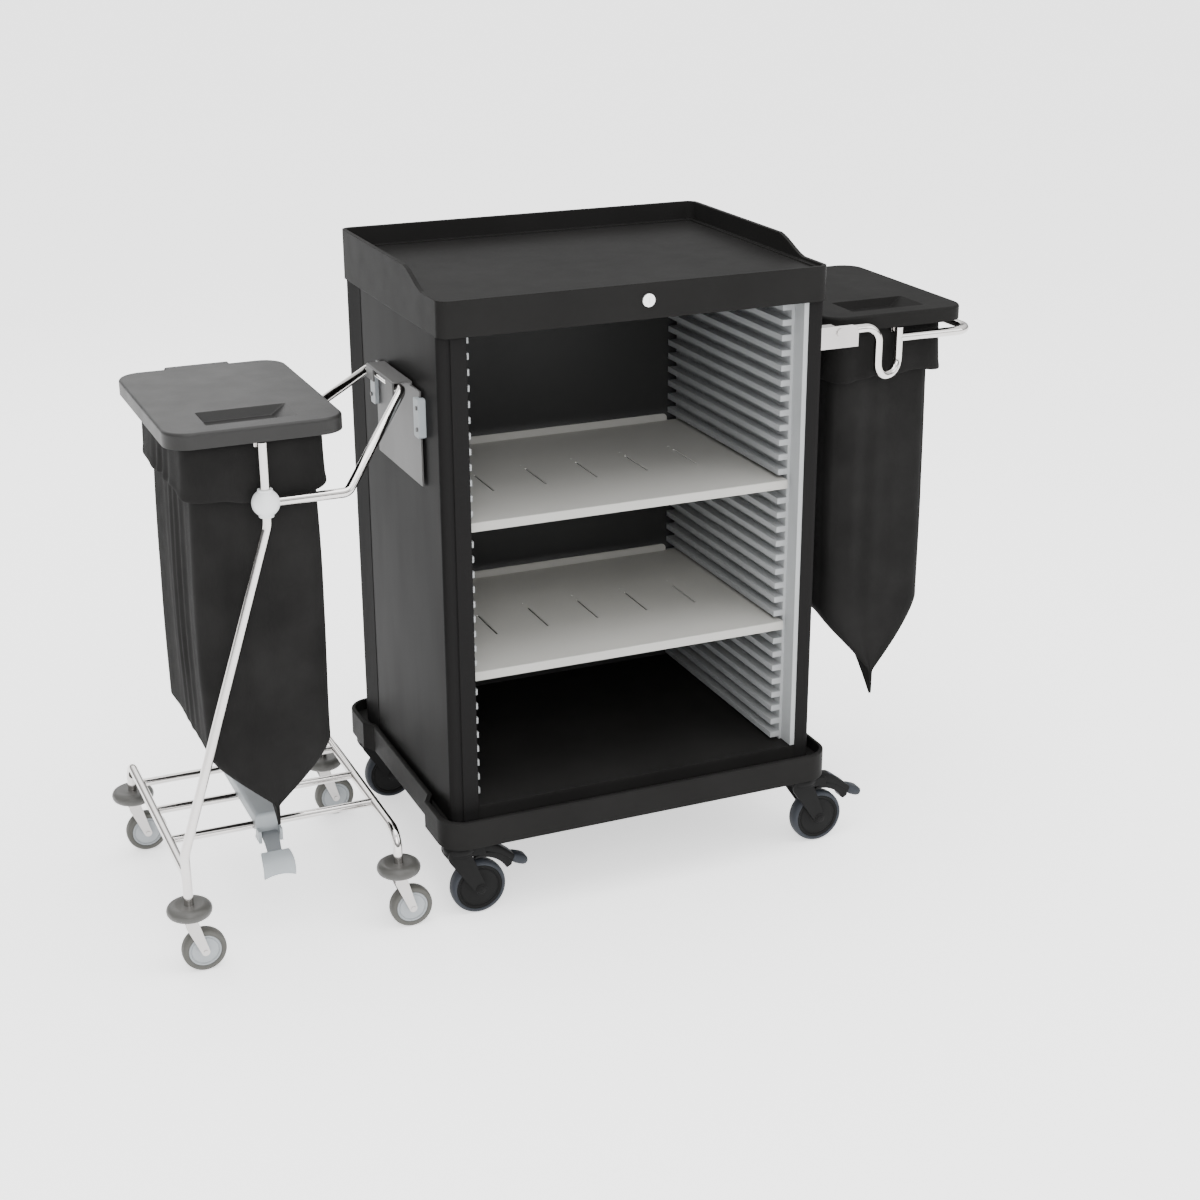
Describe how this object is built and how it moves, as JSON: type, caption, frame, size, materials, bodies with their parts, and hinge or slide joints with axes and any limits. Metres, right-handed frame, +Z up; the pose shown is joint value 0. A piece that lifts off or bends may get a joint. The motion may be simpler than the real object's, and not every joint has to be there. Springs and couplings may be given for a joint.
{
  "type": "housekeeping cart",
  "caption": "Housekeeping cart: open shelf cabinet on casters, a hooked-on bag trolley with a pedal lid on one side and a folding bag holder with a lid on the other.",
  "frame": {"origin": "middle of the whole cart's plan, on the floor under the wheels", "axes": "+X to the right seen from the front and along the cart's length, +Y to the back, +Z up; the open front faces -Y"},
  "size_m": [1.5494, 0.588, 1.122],
  "materials": {
    "cabinet_black": "satin near-black paint",
    "moulded_black": "fine-grain near-black moulding",
    "liner_grey": "light grey, faintly blue, smooth moulding",
    "shelf_grey": "satin grey with a paler front edge",
    "chrome_tube": "bright",
    "stainless": "fine brushed",
    "hitch_steel": "dull zinc grey",
    "blue_grey": "light blue-grey moulding",
    "bumper_grey": "soft grey rubber",
    "tread_dark": "bluish dark grey tread with a black hub",
    "tread_grey": "soft grey tread with a pale hub",
    "caster_black": "black caster moulding",
    "lid_grey": "fine-grain dark grey",
    "lid_black": "fine-grain near-black",
    "bag_black": "black coated weave",
    "lock_silver": "satin silver"
  },
  "bodies": {
    "cabinet": {"base_tray": "moulded_black", "post_front_left": "cabinet_black", "post_front_right": "cabinet_black", "post_rear_left": "cabinet_black", "post_rear_right": "cabinet_black", "side_panel_left": "cabinet_black", "side_panel_right": "cabinet_black", "liner_left": "liner_grey", "liner_right": "liner_grey", "back_panel": "cabinet_black", "jamb_strip": "moulded_black", "top_tray": "moulded_black", "hitch_plate": "hitch_steel", "hitch_clamp_front": "blue_grey", "hitch_clamp_rear": "blue_grey", "hitch_screws": "hitch_steel", "holder_bracket_front": "stainless", "holder_bracket_rear": "stainless", "holder_rivets": "stainless"},
    "upper_shelf": {"shelf_upper": "shelf_grey"},
    "lower_shelf": {"shelf_lower": "shelf_grey"},
    "lock": {"lock_barrel": "lock_silver"},
    "trolley": {"coupler_tube": "chrome_tube", "trolley_ball_front": "blue_grey", "trolley_ball_rear": "blue_grey", "trolley_upright_front": "chrome_tube", "trolley_upright_rear": "chrome_tube", "trolley_rail_left": "chrome_tube", "trolley_rail_right": "chrome_tube", "trolley_cross_bars": "chrome_tube", "trolley_bumpers": "bumper_grey", "left_ring": "chrome_tube", "left_bag": "bag_black", "pedal_housing": "blue_grey"},
    "pedal": {"pedal": "blue_grey"},
    "left_lid": {"left_lid": "lid_grey"},
    "holder": {"holder_tube_front": "chrome_tube", "holder_tube_rear": "chrome_tube", "guard_loop": "chrome_tube", "right_ring": "chrome_tube", "right_bag": "bag_black"},
    "right_lid": {"right_lid": "lid_black"},
    "caster_fl": {"caster_fork_fl": "caster_black"},
    "cabinet_wheel_fl": {"caster_wheel_fl": "tread_dark"},
    "brake_fl": {"brake_lever_fl": "caster_black"},
    "caster_fr": {"caster_fork_fr": "caster_black"},
    "cabinet_wheel_fr": {"caster_wheel_fr": "tread_dark"},
    "brake_fr": {"brake_lever_fr": "caster_black"},
    "caster_rl": {"caster_fork_rl": "caster_black"},
    "cabinet_wheel_rl": {"caster_wheel_rl": "tread_dark"},
    "caster_rr": {"caster_fork_rr": "caster_black"},
    "cabinet_wheel_rr": {"caster_wheel_rr": "tread_dark"},
    "trolley_caster_fl": {"trolley_fork_fl": "stainless"},
    "trolley_roller_fl": {"trolley_wheel_fl": "tread_grey"},
    "trolley_caster_fr": {"trolley_fork_fr": "stainless"},
    "trolley_roller_fr": {"trolley_wheel_fr": "tread_grey"},
    "trolley_caster_rl": {"trolley_fork_rl": "stainless"},
    "trolley_roller_rl": {"trolley_wheel_rl": "tread_grey"},
    "trolley_caster_rr": {"trolley_fork_rr": "stainless"},
    "trolley_roller_rr": {"trolley_wheel_rr": "tread_grey"}
  },
  "joints": [
    {"name": "upper_shelf_slide", "type": "slide", "parent": "cabinet", "child": "upper_shelf", "axis": [0, -1, 0], "range_m": [0, 0.3]},
    {"name": "lower_shelf_slide", "type": "slide", "parent": "cabinet", "child": "lower_shelf", "axis": [0, -1, 0], "range_m": [0, 0.3]},
    {"name": "lock_turn", "type": "hinge", "parent": "cabinet", "child": "lock", "pos_m": [0.08535, -0.2655, 1.066], "axis": [0, 1, 0], "range_deg": [0, 90]},
    {"name": "trolley_hinge", "type": "hinge", "parent": "cabinet", "child": "trolley", "pos_m": [-0.29925, -0.05, 0.924], "axis": [0, 1, 0], "range_deg": [0, 6]},
    {"name": "left_lid_hinge", "type": "hinge", "parent": "trolley", "child": "left_lid", "pos_m": [-0.56925, 0.1635, 0.908], "axis": [-1, 0, 0], "range_deg": [0, 70]},
    {"name": "pedal_hinge", "type": "hinge", "parent": "trolley", "child": "pedal", "pos_m": [-0.56825, -0.139, 0.167], "axis": [1, 0, 0], "range_deg": [0, 14]},
    {"name": "holder_fold", "type": "hinge", "parent": "cabinet", "child": "holder", "pos_m": [0.47375, 0.008, 0.965], "axis": [0, -1, 0], "range_deg": [0, 12]},
    {"name": "right_lid_hinge", "type": "hinge", "parent": "holder", "child": "right_lid", "pos_m": [0.60825, 0.2215, 0.965], "axis": [-1, 0, 0], "range_deg": [0, 75]},
    {"name": "caster_fl_swivel", "type": "hinge", "parent": "cabinet", "child": "caster_fl", "pos_m": [-0.26325, -0.249, 0.12], "axis": [0, 0, 1], "range_deg": [-120, 120]},
    {"name": "caster_fl_roll", "type": "hinge", "parent": "caster_fl", "child": "cabinet_wheel_fl", "pos_m": [-0.23125, -0.249, 0.05], "axis": [0, 1, 0], "continuous": true},
    {"name": "brake_fl_press", "type": "hinge", "parent": "caster_fl", "child": "brake_fl", "pos_m": [-0.22625, -0.249, 0.125], "axis": [0, 1, 0], "range_deg": [0, 8]},
    {"name": "caster_fr_swivel", "type": "hinge", "parent": "cabinet", "child": "caster_fr", "pos_m": [0.41275, -0.249, 0.12], "axis": [0, 0, 1], "continuous": true},
    {"name": "caster_fr_roll", "type": "hinge", "parent": "caster_fr", "child": "cabinet_wheel_fr", "pos_m": [0.44475, -0.249, 0.05], "axis": [0, 1, 0], "continuous": true},
    {"name": "brake_fr_press", "type": "hinge", "parent": "caster_fr", "child": "brake_fr", "pos_m": [0.44975, -0.249, 0.125], "axis": [0, 1, 0], "range_deg": [0, 8]},
    {"name": "caster_rl_swivel", "type": "hinge", "parent": "cabinet", "child": "caster_rl", "pos_m": [-0.26325, 0.249, 0.12], "axis": [0, 0, 1], "range_deg": [-120, 120]},
    {"name": "caster_rl_roll", "type": "hinge", "parent": "caster_rl", "child": "cabinet_wheel_rl", "pos_m": [-0.23125, 0.249, 0.05], "axis": [0, 1, 0], "continuous": true},
    {"name": "caster_rr_swivel", "type": "hinge", "parent": "cabinet", "child": "caster_rr", "pos_m": [0.41275, 0.249, 0.12], "axis": [0, 0, 1], "continuous": true},
    {"name": "caster_rr_roll", "type": "hinge", "parent": "caster_rr", "child": "cabinet_wheel_rr", "pos_m": [0.44475, 0.249, 0.05], "axis": [0, 1, 0], "continuous": true},
    {"name": "trolley_fl_swivel", "type": "hinge", "parent": "trolley", "child": "trolley_caster_fl", "pos_m": [-0.73675, -0.2485, 0.1], "axis": [0, 0, 1], "continuous": true},
    {"name": "trolley_fl_roll", "type": "hinge", "parent": "trolley_caster_fl", "child": "trolley_roller_fl", "pos_m": [-0.71775, -0.2485, 0.0375], "axis": [0, 1, 0], "continuous": true},
    {"name": "trolley_fr_swivel", "type": "hinge", "parent": "trolley", "child": "trolley_caster_fr", "pos_m": [-0.37375, -0.2485, 0.1], "axis": [0, 0, 1], "continuous": true},
    {"name": "trolley_fr_roll", "type": "hinge", "parent": "trolley_caster_fr", "child": "trolley_roller_fr", "pos_m": [-0.35475, -0.2485, 0.0375], "axis": [0, 1, 0], "continuous": true},
    {"name": "trolley_rl_swivel", "type": "hinge", "parent": "trolley", "child": "trolley_caster_rl", "pos_m": [-0.73675, 0.2185, 0.1], "axis": [0, 0, 1], "continuous": true},
    {"name": "trolley_rl_roll", "type": "hinge", "parent": "trolley_caster_rl", "child": "trolley_roller_rl", "pos_m": [-0.71775, 0.2185, 0.0375], "axis": [0, 1, 0], "continuous": true},
    {"name": "trolley_rr_swivel", "type": "hinge", "parent": "trolley", "child": "trolley_caster_rr", "pos_m": [-0.37375, 0.2185, 0.1], "axis": [0, 0, 1], "continuous": true},
    {"name": "trolley_rr_roll", "type": "hinge", "parent": "trolley_caster_rr", "child": "trolley_roller_rr", "pos_m": [-0.35475, 0.2185, 0.0375], "axis": [0, 1, 0], "continuous": true}
  ],
  "couplings": [
    {"joint": "pedal_hinge", "follows": "left_lid_hinge", "ratio": 0.2}
  ]
}
